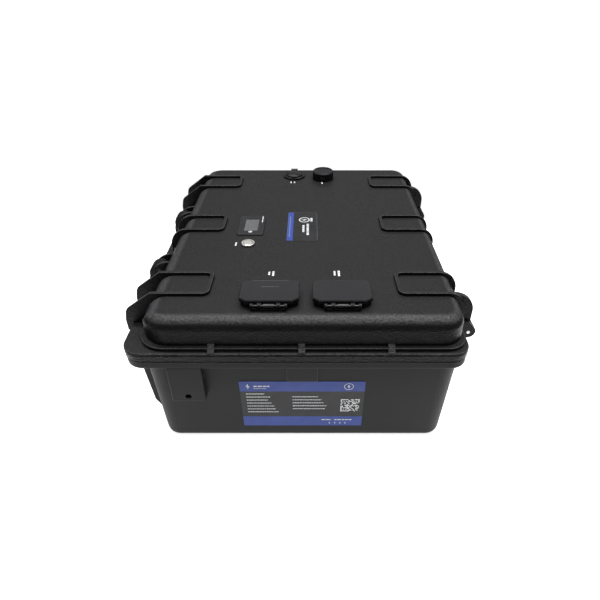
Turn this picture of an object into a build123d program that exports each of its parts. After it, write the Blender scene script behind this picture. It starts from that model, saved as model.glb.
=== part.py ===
from build123d import *
import os
from math import cos, pi, radians, sin, tan

os.makedirs("parts", exist_ok=True)

# Millimetres. The origin is the middle of the flat underside. +X points to the hinge side,
# -X to the latch side, +Y to the end with the USB and charging sockets, +Z up.

# ---------------------------------------------------------------- driving dimensions
case_length = 455.5  # lid wall to lid wall along Y
case_width = 363.0  # lid wall to lid wall along X
floor_z = -7.0  # underside while modelling; the finished pieces are lifted to stand on z = 0
case_height = 190.0  # flat top of the lid
parting_z = 140.0
parting_gap = 0.4
wall = 4.0
base_draft = 2.5
base_side_draft = 1.9
lid_draft = 2.0
corner_radius = 24.0
lid_latch_corner = 34.0  # plan corners of the lid on the latch side
lid_edge_radius = 15.0
lid_shoulder_radius = 26.0  # rounding along the top of the latch side
foot_radius = 9.0

rim_end_reach = 9.0  # how far the rim stands out from the lid wall
rim_latch_reach = 20.0
rim_hinge_reach = 6.5
rim_thickness = 11.2
rim_latch_corner = 23.0
rim_hinge_corner = 20.0
shadow_gap_height = 1.0
shadow_gap_depth = 2.6
step_height = 4.4  # low step between the lid wall and its rim

rib_height = 4.3
rib_thickness = 4.5
rib_edge_radius = 1.2
rib_pair_half = 22.0  # pair centre to the centre of each leg
rib_pair_y = (-156.8, 0.0, 156.8)
latch_y = (-75.0, 75.0)

hinge_x = 200.0
hinge_z = 137.0
hinge_pin_radius = 2.5
hinge_eye_radius = 9.0
running_gap = 0.05  # radial clearance of a pin in its bore

# ---------------------------------------------------------------- derived levels
half_length = case_length / 2
half_width = case_width / 2
rim_x_latch = -half_width - rim_latch_reach
rim_x_hinge = half_width + rim_hinge_reach
rim_y = half_length + rim_end_reach
lid_bottom_z = parting_z + parting_gap
lid_rim_top_z = lid_bottom_z + rim_thickness
ledge_z = lid_rim_top_z + step_height
base_rim_bottom_z = parting_z - rim_thickness
lid_inside_z = case_height - wall
base_wall_x = half_width + 3.0
base_wall_y = half_length - 1.0


# ---------------------------------------------------------------- small helpers
def block(x_low, x_high, y_low, y_high, z_low, z_high):
    """Box given by its six faces."""
    size = (x_high - x_low, y_high - y_low, z_high - z_low)
    centre = ((x_low + x_high) / 2, (y_low + y_high) / 2, (z_low + z_high) / 2)
    return Pos(*centre) * Box(*size)


def disc(x, y, z_low, z_high, radius):
    """Upright cylinder given by its two ends."""
    return Pos(x, y, (z_low + z_high) / 2) * Cylinder(radius, z_high - z_low)


def ring(x, y, z_low, z_high, outer_radius, inner_radius):
    """Upright tube."""
    hole = disc(x, y, z_low - 1, z_high + 1, inner_radius)
    return disc(x, y, z_low, z_high, outer_radius) - hole


def bar_y(x, z, y_low, y_high, radius):
    """Cylinder along Y."""
    return Pos(x, (y_low + y_high) / 2, z) * Rot(90, 0, 0) * Cylinder(radius, y_high - y_low)


def bar_x(y, z, x_low, x_high, radius):
    """Cylinder along X."""
    return Pos((x_low + x_high) / 2, y, z) * Rot(0, 90, 0) * Cylinder(radius, x_high - x_low)


def hex_nut(x, y, z_low, z_high, across_flats, hole_radius):
    """Hexagon nut standing on a level face."""
    nut = extrude(RegularPolygon(across_flats / 2, 6, major_radius=False), z_high - z_low)
    return Pos(x, y, z_low) * nut - disc(x, y, z_low - 1, z_high + 1, hole_radius)


def plan(x_low, x_high, y_low, y_high, low_radius, high_radius, z):
    """Plan outline at height z, with one corner radius at its low-X end and one at its high-X end."""
    sheet = Pos((x_low + x_high) / 2, (y_low + y_high) / 2) * Rectangle(x_high - x_low, y_high - y_low)
    corners = sheet.vertices().group_by(Axis.X)
    sheet = fillet(corners[0], low_radius)
    corners = sheet.vertices().group_by(Axis.X)
    sheet = fillet(corners[-1], high_radius)
    return Pos(0, 0, z) * sheet


def plate(x_low, x_high, y_low, y_high, z_low, z_high, low_radius, high_radius=None):
    """Flat plate with rounded plan corners."""
    far_radius = low_radius if high_radius is None else high_radius
    return extrude(plan(x_low, x_high, y_low, y_high, low_radius, far_radius, z_low), z_high - z_low)


def tapered_box(x_low_end, y_low_end, z_low, x_high_end, y_high_end, z_high, low_radius, high_radius):
    """Box with sloping sides, from its half widths and half lengths at two heights."""
    low = plan(-x_low_end, x_low_end, -y_low_end, y_low_end, low_radius, low_radius, z_low)
    high = plan(-x_high_end, x_high_end, -y_high_end, y_high_end, high_radius, high_radius, z_high)
    return loft([low, high], ruled=True)


def side_profile(points, radii, y_low, y_high):
    """Outline in the XZ plane, filleted where a radius is given, made into a plate along Y."""
    outline = make_face(Polyline(*points, close=True))
    for (x, z), radius in radii:
        corner = outline.vertices().sort_by_distance((x, z, 0))[0]
        outline = fillet(corner, radius)
    return extrude(Plane.XZ.offset(-y_high) * outline, y_high - y_low)


# ---------------------------------------------------------------- base
base_depth = parting_z - floor_z
base_side_inset = base_depth * tan(radians(base_side_draft))
base_end_inset = base_depth * tan(radians(base_draft))
foot_corner_radius = 20.0
seal_x = half_width + 2.5
seal_y = half_length + 1.0
seal_width = 4.0
seal_depth = 4.0
corner_block_x = (-153.5, -114.0)
corner_block_bottom_z = 76.2
corner_block_reach = 8.8
block_hole_x = -134.0
block_hole_z = 84.0
block_hole_radius = 4.0
block_hole_depth = 8.0
pad_half_width = 18.0
pad_bottom_z = 99.0
pad_height = 1.2
label_half_width = 75.0
label_z = (15.5, 98.5)
label_thickness = 0.5
handle_pivot_x = -192.0
handle_pivot_z = 118.0
handle_pin_radius = 3.0
handle_ear_y = (50.0, 57.5)
handle_arm_y = (41.0, 49.6)


def base_body(grow):
    """Outside of the base without its rim, grown outward by the given amount."""
    low_x = base_wall_x - base_side_inset + grow
    low_y = base_wall_y - base_end_inset + grow
    high_x = base_wall_x + grow
    high_y = base_wall_y + grow
    return tapered_box(low_x, low_y, floor_z, high_x, high_y, parting_z, foot_corner_radius,
                       corner_radius)


def base_cavity():
    """Space inside the base, open at the parting face."""
    low_x = base_wall_x - base_side_inset - wall
    low_y = base_wall_y - base_end_inset - wall
    high_x = base_wall_x - wall
    high_y = base_wall_y - wall
    inner_foot = foot_corner_radius - wall
    inner_corner = corner_radius - wall
    cavity = tapered_box(low_x, low_y, floor_z + wall, high_x, high_y, parting_z + 1, inner_foot,
                         inner_corner)
    return fillet(cavity.edges().group_by(Axis.Z)[0], foot_radius - wall)


def base_rim():
    """Outward rim round the mouth of the base, set back under the lid so that a shadow gap shows."""
    inset = 0.5
    rim = plate(rim_x_latch + inset, rim_x_hinge - inset, -rim_y + inset, rim_y - inset,
                base_rim_bottom_z, parting_z - shadow_gap_height, rim_latch_corner, rim_hinge_corner)
    rim = fillet(rim.edges().group_by(Axis.Z)[0], 2.5)
    inset = shadow_gap_depth
    return rim + plate(rim_x_latch + inset, rim_x_hinge - inset, -rim_y + inset, rim_y - inset,
                       base_rim_bottom_z + 3, parting_z, rim_latch_corner - inset,
                       rim_hinge_corner - inset)


def base_fins():
    """Tapering fins down the latch side, under the lid's outer rib pairs."""
    fins = Part()
    for pair_y in (rib_pair_y[0], rib_pair_y[-1]):
        for leg in (-rib_pair_half, rib_pair_half):
            leg_y = pair_y + leg
            points = ((-206.5, parting_z - 0.3), (-203.5, 72), (-199, 20), (-191, 5), (-168, 0),
                      (-168, parting_z - 0.3))
            radii = (((-199, 20), 8),)
            fin = side_profile(points, radii, leg_y - rib_thickness / 2, leg_y + rib_thickness / 2)
            fins += fillet(fin.edges(), rib_edge_radius)
    return fins


def hinge_knuckle(pair_y):
    """Base half of one hinge: a barrel on a web under the rim."""
    y_low = pair_y - rib_pair_half + rib_thickness / 2 + hinge_arm_thickness + 0.5
    y_high = pair_y + rib_pair_half - rib_thickness / 2 - 0.5
    web_points = ((base_wall_x - 3, 104), (hinge_x + 5.6, hinge_z - 6), (hinge_x, hinge_z),
                  (hinge_x - 11, hinge_z - 0.3), (base_wall_x - 3, hinge_z - 0.3))
    web = side_profile(web_points, (), y_low, y_high)
    barrel = bar_y(hinge_x, hinge_z, y_low, y_high, hinge_eye_radius - 0.3)
    return web + chamfer(barrel.edges(), 0.8)


def handle_ear(side):
    """Bracket on the latch side that carries one end of the handle."""
    y_low, y_high = sorted((side * handle_ear_y[0], side * handle_ear_y[1]))
    points = ((-170, 104), (-192, 109), (-200.5, 114), (-200.5, 129.5), (-170, 129.5))
    radii = (((-200.5, 114), 4), ((-192, 109), 4))
    ear = side_profile(points, radii, y_low, y_high)
    return fillet(ear.edges(), rib_edge_radius)


def base_shell():
    body = base_body(0)
    body = fillet(body.edges().group_by(Axis.Z)[0], foot_radius)
    body += base_rim() + base_fins()
    corner_block = block(*corner_block_x, -rim_y + 1.0, -rim_y + 1.0 + corner_block_reach + wall,
                         corner_block_bottom_z, base_rim_bottom_z + 1)
    body += fillet(corner_block.edges(), rib_edge_radius)
    pad_room = block(-pad_half_width, pad_half_width, -rim_y, -base_wall_y + 12, pad_bottom_z,
                     base_rim_bottom_z + 1)
    body += base_body(pad_height) & pad_room
    for pair_y in (rib_pair_y[0], rib_pair_y[-1]):
        body += hinge_knuckle(pair_y)
    for side in (-1, 1):
        body += handle_ear(side)
    body -= base_cavity()
    outer = plan(-seal_x - 2.05, seal_x + 2.05, -seal_y - 2.05, seal_y + 2.05, corner_radius + 3,
                 corner_radius + 3, parting_z - seal_depth)
    inner = plan(-seal_x + 2.05, seal_x - 2.05, -seal_y + 2.05, seal_y - 2.05, corner_radius - 1,
                 corner_radius - 1, parting_z - seal_depth)
    body -= extrude(outer - inner, seal_depth + 1)
    hole_mouth = -rim_y + 1.0
    body -= bar_y(block_hole_x, block_hole_z, hole_mouth - 5, hole_mouth + block_hole_depth,
                  block_hole_radius)
    body -= bar_y(hinge_x, hinge_z, -half_length, half_length, hinge_pin_radius + running_gap)
    body -= bar_y(handle_pivot_x, handle_pivot_z, -70, 70, handle_pin_radius + running_gap)
    return body


def rim_seal():
    """Rubber seal lying in the base's groove."""
    z = parting_z - seal_depth
    half = seal_width / 2
    outer = plan(-seal_x - half, seal_x + half, -seal_y - half, seal_y + half, corner_radius + 3,
                 corner_radius + 3, z)
    inner = plan(-seal_x + half, seal_x - half, -seal_y + half, seal_y - half, corner_radius - 1,
                 corner_radius - 1, z)
    seal = extrude(outer - inner, seal_depth + parting_gap - 0.1)
    return fillet(seal.edges().group_by(Axis.Z)[-1], 1.0)


def hinge_pins():
    """Two steel pins, one through each hinge."""
    reach = rib_pair_half + rib_thickness / 2 + 0.3
    pins = [bar_y(hinge_x, hinge_z, pair_y - reach, pair_y + reach, hinge_pin_radius)
            for pair_y in (rib_pair_y[0], rib_pair_y[-1])]
    return Compound([chamfer(pin.edges(), 0.5) for pin in pins])


def front_label():
    """Printed label on the sloping front end of the base."""
    sheet = base_body(label_thickness) - base_body(0)
    room = plate(-label_half_width, label_half_width, -rim_y, -base_wall_y + 20, *label_z, 0.01)
    return sheet & room


def carry_handle():
    """Folding handle, hanging against the latch side at rest."""
    grip = block(-201, -186, -handle_arm_y[1], handle_arm_y[1], 66, 83)
    grip = fillet(grip.edges().filter_by(Axis.Y), 6.5)
    handle = grip
    for side in (-1, 1):
        y_low, y_high = sorted((side * handle_arm_y[0], side * handle_arm_y[1]))
        arm = block(-198.5, -186, y_low, y_high, 76, handle_pivot_z)
        eye = bar_y(handle_pivot_x - 0.25, handle_pivot_z, y_low, y_high, 6.25)
        handle += arm + eye
    ends = handle.faces().sort_by(Axis.Y)
    for face in (ends[0], ends[-1]):
        handle = chamfer(face.edges(), 0.8)
    return handle - bar_y(handle_pivot_x, handle_pivot_z, -70, 70, handle_pin_radius + running_gap)


def handle_pins():
    """Two short pins that carry the handle in its ears."""
    y_inner = handle_arm_y[0] + 1.0
    y_outer = handle_ear_y[1]
    return Compound([
        bar_y(handle_pivot_x, handle_pivot_z, y_inner, y_outer, handle_pin_radius),
        bar_y(handle_pivot_x, handle_pivot_z, -y_outer, -y_inner, handle_pin_radius),
    ])


# ---------------------------------------------------------------- lid
lid_inset = (case_height - ledge_z) * tan(radians(lid_draft))
rib_top_z = case_height + rib_height
rim_groove_z = (148.2, 149.5)
rim_groove_depth = 0.8
step_latch_reach = 3.0
gusset_x = (-100.0, 0.0, 99.0)
gusset_width = 8.0
hinge_arm_thickness = 6.5
latch_ear_half = 10.5  # latch centre to the middle of each ear
latch_ear_thickness = 4.0
latch_ear_corner = (-207.0, 179.0)
latch_ear_radius = 32.0
latch_pivot_x = -190.5
latch_pivot_z = 166.0
latch_pin_radius = 2.0
latch_half_width = 8.1
socket_x = (-36.0, 45.0)
socket_y = -185.7
display_x = -74.0
display_y = -6.3
switch_y = -59.2
usb_x = -17.6
usb_y = 185.3
charge_x = 32.5
charge_y = 175.3
top_label_x = -1.2
top_label_y = -6.4
socket_hole = (49.6, 26.0)
display_hole = (32.4, 52.4)
switch_hole_radius = 8.05
usb_hole_radius = 14.4
charge_hole_radius = 10.1


def rib_pair(pair_y, latch_rib, hinge_rib, foot_z, cut=None):
    """One U-shaped rib on each half of the top, running over the lid's edge and down its side.

    Each rib is given by the X of its closed end, the X of its outer corner and that corner's radius.
    """
    half = rib_pair_half + rib_thickness / 2
    reach = 230.0
    pair = Part()
    for side, (end_x, corner, radius) in ((-1, latch_rib), (1, hinge_rib)):
        outer_sheet = Pos(side * (end_x + reach) / 2, pair_y) * Rectangle(reach - end_x, 2 * half)
        ends = outer_sheet.vertices().sort_by_distance((side * end_x, pair_y, 0))[:2]
        outer_sheet = fillet(ends, 9.0)
        hole_x = end_x + rib_thickness
        hole = Pos(side * (hole_x + reach + 5) / 2, pair_y)
        hole_sheet = hole * Rectangle(reach + 5 - hole_x, 2 * (half - rib_thickness))
        ends = hole_sheet.vertices().sort_by_distance((side * hole_x, pair_y, 0))[:2]
        hole_sheet = fillet(ends, 5.5)
        u_shape = extrude(Pos(0, 0, parting_z - 20) * (outer_sheet - hole_sheet), 90)
        far_x = side * corner
        points = ((side * 90, 160), (side * 90, rib_top_z), (far_x, rib_top_z), (far_x, foot_z),
                  (side * 150, foot_z), (side * 150, 160))
        section = side_profile(points, (((far_x, rib_top_z), radius),), pair_y - half - 1, pair_y + half + 1)
        rib = u_shape & section
        if cut is not None:
            rib -= cut
        pair += fillet(rib.edges(), rib_edge_radius)
    return pair


def chamfered_side(pair_y):
    """Straight cut across the outer top corner of the latch-side fins."""
    half = rib_pair_half + rib_thickness / 2 + 1
    points = ((-173.5, rib_top_z), (-206, 170.5), (-209, 156), (-230, 156), (-230, rib_top_z + 5),
              (-173.5, rib_top_z + 5))
    return side_profile(points, (((-206, 170.5), 10),), pair_y - half, pair_y + half)


def hinge_eyes(pair_y):
    """Round ends of the hinge-side fins, one each side of the base's knuckle."""
    eyes = Part()
    for side in (-1, 1):
        far_y = pair_y + side * (rib_pair_half + rib_thickness / 2)
        near_y = pair_y + side * (rib_pair_half - rib_thickness / 2 - 0.5)
        y_low, y_high = sorted((far_y, near_y))
        eye = bar_y(hinge_x, hinge_z, y_low, y_high, hinge_eye_radius)
        neck_points = ((hinge_x - 12, hinge_z + 3), (hinge_x + 6.5, hinge_z + 6.2),
                       (hinge_x - 0.5, hinge_z + 14.5), (hinge_x - 12, hinge_z + 14.5))
        eyes += fillet(eye.edges(), rib_edge_radius) + side_profile(neck_points, (), y_low, y_high)
    return eyes


def hinge_arm(pair_y):
    """Broad curved arm behind the front leg of an outer pair, from the lid's shoulder to the pin."""
    y_low = pair_y - rib_pair_half + rib_thickness / 2 - 0.5
    y_high = pair_y - rib_pair_half + rib_thickness / 2 + hinge_arm_thickness
    outer_x = hinge_x + 1.2
    points = ((150, case_height - 0.5), (outer_x, case_height - 0.5), (outer_x, hinge_z),
              (hinge_x - 8.5, hinge_z), (hinge_x - 8.5, lid_bottom_z), (150, lid_bottom_z))
    arm = side_profile(points, (((outer_x, case_height - 0.5), 24),), y_low, y_high)
    eye = bar_y(hinge_x, hinge_z, y_low, y_high, hinge_eye_radius)
    return fillet(arm.edges(), rib_edge_radius) + fillet(eye.edges(), rib_edge_radius)


def latch_ears(centre_y):
    """Two rounded ears that guard a latch and hold its pin."""
    ears = Part()
    for side in (-1, 1):
        ear_y = centre_y + side * latch_ear_half
        ear_x, ear_z = latch_ear_corner
        points = ((-160, ear_z), latch_ear_corner, (ear_x, lid_bottom_z + 4), (-198, lid_bottom_z),
                  (-160, lid_bottom_z))
        radii = ((latch_ear_corner, latch_ear_radius),)
        ear = side_profile(points, radii, ear_y - latch_ear_thickness / 2, ear_y + latch_ear_thickness / 2)
        ears += fillet(ear.edges(), rib_edge_radius)
    return ears


def gussets():
    """Small wedges that tie the end walls of the lid to its rim."""
    wedges = Part()
    for end in (-1, 1):
        for x in gusset_x:
            outline = make_face(Polyline((end * (half_length - 3), ledge_z + 3.5),
                                         (end * (half_length + 0.5), ledge_z + 3.5),
                                         (end * (rim_y - 0.6), lid_rim_top_z + 0.6),
                                         (end * (rim_y - 0.6), lid_rim_top_z - 2),
                                         (end * (half_length - 3), lid_rim_top_z - 2), close=True))
            wedge = extrude(Plane.YZ.offset(x - gusset_width / 2) * outline, gusset_width)
            wedges += fillet(wedge.edges(), 0.7)
    return wedges


def lid_body():
    """Domed cover of the lid: sloping walls and rounded top edges."""
    low = plan(-half_width, half_width, -half_length, half_length, lid_latch_corner, corner_radius,
               lid_rim_top_z - 1)
    high = plan(lid_inset - half_width, half_width - lid_inset, lid_inset - half_length,
                half_length - lid_inset, lid_latch_corner, corner_radius, case_height)
    body = loft([low, high], ruled=True)
    return fillet(body.edges().group_by(Axis.Z)[-1], lid_edge_radius) & shoulder(0)


def shoulder(inset):
    """Room under the broad rounding along the latch side, drawn in by the given inset."""
    side_x = inset - half_width + 1.0
    top_z = case_height - inset
    points = ((side_x - 10, 0), (side_x - 10, lid_rim_top_z), (side_x, ledge_z), (side_x, top_z),
              (half_width + 10, top_z), (half_width + 10, 0))
    radii = (((side_x, top_z), lid_shoulder_radius - inset),)
    return side_profile(points, radii, -half_length - 10, half_length + 10)


def lid_rim():
    """Rim of the lid with one low step up to its wall."""
    rim = plate(rim_x_latch, rim_x_hinge, -rim_y, rim_y, lid_bottom_z, lid_rim_top_z, rim_latch_corner,
                rim_hinge_corner)
    rim = fillet(rim.edges().group_by(Axis.Z)[-1], 1.6)
    rim = chamfer(rim.edges().group_by(Axis.Z)[0], 0.6)
    outside = plate(rim_x_latch - 1, rim_x_hinge + 1, -rim_y - 1, rim_y + 1, *rim_groove_z,
                    rim_latch_corner + 1, rim_hinge_corner + 1)
    inside = plate(rim_x_latch + rim_groove_depth, rim_x_hinge - rim_groove_depth,
                   rim_groove_depth - rim_y, rim_y - rim_groove_depth, *rim_groove_z,
                   rim_latch_corner - rim_groove_depth, rim_hinge_corner - rim_groove_depth)
    rim -= outside - inside
    step = plate(-half_width - step_latch_reach, half_width + rim_hinge_reach / 2,
                 -half_length - rim_end_reach / 2, half_length + rim_end_reach / 2,
                 lid_rim_top_z - 1, ledge_z, lid_latch_corner - 3, rim_hinge_corner + 2)
    return rim + fillet(step.edges().group_by(Axis.Z)[-1], 1.2)


def lid_cavity():
    """Space inside the lid, open at the parting face."""
    low_x = half_width - wall
    low_y = half_length - wall
    inset = (case_height - lid_bottom_z) * tan(radians(lid_draft))
    low = plan(-low_x, low_x, -low_y, low_y, lid_latch_corner - wall, corner_radius - wall,
               lid_bottom_z - 1)
    high = plan(inset - low_x, low_x - inset, inset - low_y, low_y - inset, lid_latch_corner - wall,
                corner_radius - wall, lid_inside_z)
    cavity = loft([low, high], ruled=True)
    return fillet(cavity.edges().group_by(Axis.Z)[-1], lid_edge_radius - wall) & shoulder(wall)


def lid_openings():
    """Holes through the top for the sockets, display and switch."""
    deep = case_height - wall - 3
    high = case_height + 3
    cuts = disc(display_x, switch_y, deep, high, switch_hole_radius)
    cuts += disc(usb_x, usb_y, deep, high, usb_hole_radius)
    cuts += disc(charge_x, charge_y, deep, high, charge_hole_radius)
    cuts += plate(display_x - display_hole[0] / 2, display_x + display_hole[0] / 2,
                  display_y - display_hole[1] / 2, display_y + display_hole[1] / 2, deep, high, 1.0)
    for x in socket_x:
        cuts += plate(x - socket_hole[0] / 2, x + socket_hole[0] / 2, socket_y - socket_hole[1] / 2,
                      socket_y + socket_hole[1] / 2, deep, high, 3.0)
        for screw_x, screw_y in frame_screw_places(x):
            cuts += disc(screw_x, screw_y, deep, high, frame_screw_radius + 0.3)
    return cuts


def lid_shell():
    body = lid_body() + lid_rim() + gussets()
    for pair_y in (rib_pair_y[0], rib_pair_y[-1]):
        body += rib_pair(pair_y, (106, 209, 12), (110.5, 190, 24), lid_bottom_z, chamfered_side(pair_y))
        body += hinge_eyes(pair_y)
        body += hinge_arm(pair_y)
    body += rib_pair(rib_pair_y[1], (111.5, 189, 26), (110.5, 185.5, 22), lid_rim_top_z - 2)
    for centre_y in latch_y:
        body += latch_ears(centre_y)
    body -= lid_cavity()
    body -= lid_openings()
    for centre_y in latch_y:
        reach = latch_ear_half + latch_ear_thickness
        body -= bar_y(latch_pivot_x, latch_pivot_z, centre_y - reach, centre_y + reach,
                      latch_pin_radius + running_gap)
    return body - bar_y(hinge_x, hinge_z, -half_length, half_length, hinge_pin_radius + running_gap)


def top_label():
    """Printed label on the top of the lid."""
    return plate(top_label_x - 21.5, top_label_x + 21.5, top_label_y - 44, top_label_y + 44,
                 case_height, case_height + label_thickness, 1.5)


# ---------------------------------------------------------------- latches
def latch(centre_y):
    """Snap latch: barrel on its pin, a plate over both rims, a hook under the base's rim."""
    face_x = -206.4
    back_x = -202.4
    hook_z = base_rim_bottom_z - 0.4
    hook_x = -195.5
    barrel_radius = 6.6
    points = ((latch_pivot_x, latch_pivot_z + barrel_radius), (face_x, latch_pivot_z + barrel_radius),
              (face_x, 120), (face_x - 4.5, 113), (face_x - 2, 111), (back_x - 1, 117),
              (back_x - 1, hook_z - 4.5), (hook_x, hook_z - 4.5), (hook_x, hook_z), (back_x, hook_z),
              (back_x, latch_pivot_z - barrel_radius), (latch_pivot_x, latch_pivot_z - barrel_radius))
    radii = (((face_x, latch_pivot_z + barrel_radius), 15), ((face_x, 120), 5),
             ((back_x, latch_pivot_z - barrel_radius), 1.5))
    y_low = centre_y - latch_half_width
    y_high = centre_y + latch_half_width
    body = side_profile(points, radii, y_low, y_high)
    body += bar_y(latch_pivot_x, latch_pivot_z, y_low, y_high, barrel_radius)
    pocket = block(face_x - 1, face_x + 1, y_low + 3, y_high - 3, 134, 152)
    body -= fillet(pocket.edges().filter_by(Axis.X), 3)
    for number in range(3):
        z = 121 + 4 * number
        body += bar_y(face_x, z, y_low + 2.5, y_high - 2.5, 0.8)
    return body - bar_y(latch_pivot_x, latch_pivot_z, y_low - 1, y_high + 1, latch_pin_radius + running_gap)


def latch_pins():
    """Pins through the latch ears."""
    reach = latch_ear_half + latch_ear_thickness / 2 + 0.2
    return Compound([bar_y(latch_pivot_x, latch_pivot_z, y - reach, y + reach, latch_pin_radius)
                     for y in latch_y])


# ---------------------------------------------------------------- power sockets
frame_top_z = 197.0
cover_z = (197.3, 202.2)
cover_half_x = 33.2
cover_y = (socket_y - 19.6, socket_y + 20.0)
cover_pin_y = socket_y - 22.2
cover_pin_z = 196.4
cover_pin_radius = 1.2
cover_eye_radius = 2.6
frame_screw_radius = 1.5


def frame_screw_places(x):
    """Centres of the two screws that hold one frame."""
    return ((x - 28.4, socket_y - 2), (x + 28.4, socket_y - 2))


def octagon(x, half_x, y_low, y_high, front_cut, back_radius, z):
    """Cover outline: cut front corners, rounded back corners."""
    sheet = make_face(Polyline((x - half_x, y_low + front_cut[1]), (x - half_x + front_cut[0], y_low),
                               (x + half_x - front_cut[0], y_low), (x + half_x, y_low + front_cut[1]),
                               (x + half_x, y_high), (x - half_x, y_high), close=True))
    sheet = fillet(sheet.vertices().group_by(Axis.Y)[-1], back_radius)
    return Pos(0, 0, z) * sheet


def socket_frame(x):
    """Flanged frame round one power socket, with the fixed half of the cover's hinge."""
    outline = octagon(x, cover_half_x - 1.5, cover_y[0] + 2.2, cover_y[1] - 1.5, (6.5, 5), 6, case_height)
    frame = extrude(outline, frame_top_z - case_height)
    frame += block(x - 20, x + 20, cover_pin_y - 1.8, cover_y[0] + 4, case_height, 193.4)
    for side in (-1, 1):
        x_low, x_high = sorted((x + side * 17.4, x + side * 20))
        frame += bar_x(cover_pin_y, cover_pin_z, x_low, x_high, cover_eye_radius)
        frame += block(x_low, x_high, cover_pin_y - 1.8, cover_pin_y + 1.8, 192, cover_pin_z)
    frame += plate(x - 24.5, x + 24.5, socket_y - 12.7, socket_y + 12.7, 172, case_height + 1, 2.5)
    frame -= plate(x - 22, x + 22, socket_y - 10, socket_y + 10, 170, frame_top_z + 1, 2.0)
    frame -= block(x - 14, x + 14, cover_y[0] - 6, cover_y[0] + 1.9, 193.4, frame_top_z + 1)
    for screw_x, screw_y in frame_screw_places(x):
        frame -= disc(screw_x, screw_y, case_height - 1, frame_top_z - 2, frame_screw_radius)
    return frame - bar_x(cover_pin_y, cover_pin_z, x - 25, x + 25, cover_pin_radius + running_gap)


def socket_cover(x):
    """Spring-closed flip cover over one power socket."""
    cover = extrude(octagon(x, cover_half_x, *cover_y, (7.5, 5.5), 7, cover_z[0]), cover_z[1] - cover_z[0])
    cover = chamfer(cover.edges().group_by(Axis.Z)[-1], 1.2)
    for side in (-1, 1):
        x_low, x_high = sorted((x + side * 8.5, x + side * 12.5))
        cover += bar_x(cover_pin_y, cover_pin_z, x_low, x_high, cover_eye_radius)
        cover += block(x_low, x_high, cover_pin_y, cover_y[0] + 1, cover_z[0], 198.8)
    seal = plate(x - 21.4, x + 21.4, socket_y - 9.4, socket_y + 9.4, 195.5, cover_z[0] + 0.5, 2.0)
    cover += seal
    return cover - bar_x(cover_pin_y, cover_pin_z, x - 25, x + 25, cover_pin_radius + running_gap)


def cover_pins():
    """Steel hinge pins of the two covers."""
    return Compound([bar_x(cover_pin_y, cover_pin_z, x - 20, x + 20, cover_pin_radius) for x in socket_x])


def cover_spring(x):
    """Close-wound torsion spring on a cover's hinge pin, its turns drawn as touching rings."""
    wire = 0.5
    coil_radius = 1.85
    turns = 12
    start = x - turns * wire
    spring = Part()
    for turn in range(turns):
        centre_x = start + (2 * turn + 1) * wire
        spring += bar_x(cover_pin_y, cover_pin_z, centre_x - wire, centre_x - 0.1, coil_radius + wire)
        spring += bar_x(cover_pin_y, cover_pin_z, centre_x - 0.1, centre_x + wire, coil_radius + 0.2)
    spring -= bar_x(cover_pin_y, cover_pin_z, start - 1, x + turns * wire + 1, coil_radius - wire)
    return spring


def cover_springs():
    return Compound([cover_spring(x) for x in socket_x])


def power_connector(x):
    """Two-pole connector housing standing in its frame."""
    body = block(x - 18.5, x + 18.5, socket_y - 8, socket_y + 8, 146, 191)
    body = fillet(body.edges().filter_by(Axis.Z), 2.0)
    body += plate(x - 21.9, x + 21.9, socket_y - 9.9, socket_y + 9.9, 173, 177, 2.1)
    for side in (-1, 1):
        body -= plate(x + side * 9 - 6.5, x + side * 9 + 6.5, socket_y - 5, socket_y + 5, 164, 192, 1.5)
        body -= block(x + side * 9 - 4, x + side * 9 + 4, socket_y - 1.1, socket_y + 1.1, 145, 165)
    return body


def connector_contacts():
    """Silvered blade contacts, two in each power connector."""
    blades = []
    for x in socket_x:
        for side in (-1, 1):
            blade_x = x + side * 9
            blade = block(blade_x - 3.8, blade_x + 3.8, socket_y - 1, socket_y + 1, 142, 186)
            blades.append(chamfer(blade.edges().group_by(Axis.Z)[-1], 0.7))
    return Compound(blades)


def frame_screws():
    """Screws that hold the socket frames, put in from inside the lid."""
    screws = []
    for x in socket_x:
        for screw_x, screw_y in frame_screw_places(x):
            head = disc(screw_x, screw_y, lid_inside_z - 2.2, lid_inside_z, 3.0)
            head = fillet(head.edges().group_by(Axis.Z)[0], 1.2)
            shank = disc(screw_x, screw_y, lid_inside_z, frame_top_z - 2.2, frame_screw_radius - 0.02)
            screws.append(head + shank)
    return Compound(screws)


# ---------------------------------------------------------------- display and switch
key_y = display_y - 22.0
key_half = 2.1
display_top_z = 192.2


def display_bezel():
    """Snap-in display housing with a window recess and a key hole."""
    bezel = plate(display_x - 18.5, display_x + 18.5, display_y - 28.5, display_y + 28.5, case_height,
                  display_top_z, 2.5)
    bezel = chamfer(bezel.edges().group_by(Axis.Z)[-1], 0.9)
    bezel += plate(display_x - 16, display_x + 16, display_y - 26, display_y + 26, 178, case_height, 1.0)
    bezel -= plate(display_x - 14, display_x + 14, display_y - 24, display_y + 24, 177, 188.6, 1.0)
    bezel -= block(display_x - 9.5, display_x + 9.5, display_y - 18, display_y + 19, 187, 193)
    return bezel - key_prism(key_half + 0.15, 186, 193)


def key_prism(half, z_low, z_high):
    """Diamond-shaped column under the display key."""
    return Pos(display_x, key_y, (z_low + z_high) / 2) * Rot(0, 0, 45) * Box(
        2 * half, 2 * half, z_high - z_low)


def display_window():
    """Clear screen of the display."""
    return block(display_x - 9.4, display_x + 9.4, display_y - 17.9, display_y + 18.9, 189.2, 191.6)


def display_board():
    """Circuit board of the display, with its screen module and key switch."""
    board = block(display_x - 13.7, display_x + 13.7, display_y - 23.7, display_y + 23.7, 181, 182.6)
    board += block(display_x - 9, display_x + 9, display_y - 17, display_y + 18, 182.6, 189.1)
    return board + block(display_x - 3, display_x + 3, key_y - 1.5, key_y + 3, 182.6, 186.2)


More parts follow.
